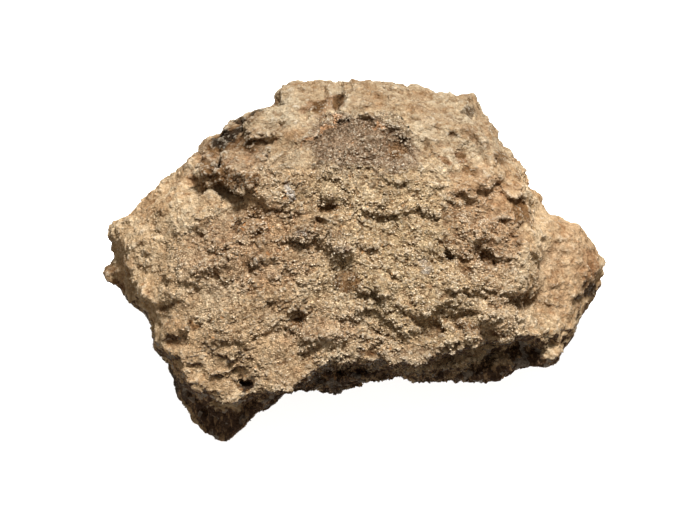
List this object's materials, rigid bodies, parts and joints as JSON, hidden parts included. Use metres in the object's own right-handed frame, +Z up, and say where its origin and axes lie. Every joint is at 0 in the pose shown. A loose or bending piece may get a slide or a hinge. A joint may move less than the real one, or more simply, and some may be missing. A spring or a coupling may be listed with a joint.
{
  "type": "fossil dinosaur cheek horn",
  "caption": "Weathered lump of fossil bone, a dinosaur's cheek horn, under a rough sandstone crust with ledges, pits and a lobe on one side, resting on its inner side.",
  "frame": {"origin": "on the surface that the horn rests on, under the middle of its box", "axes": "+Z up, +X to the horn's right along its length, -Y towards the side that the sloping outer face looks to"},
  "size_m": [0.0962, 0.0638, 0.0513],
  "materials": {
    "crust": "rough"
  },
  "bodies": {
    "root": {"cheek_horn": "crust"}
  },
  "joints": []
}
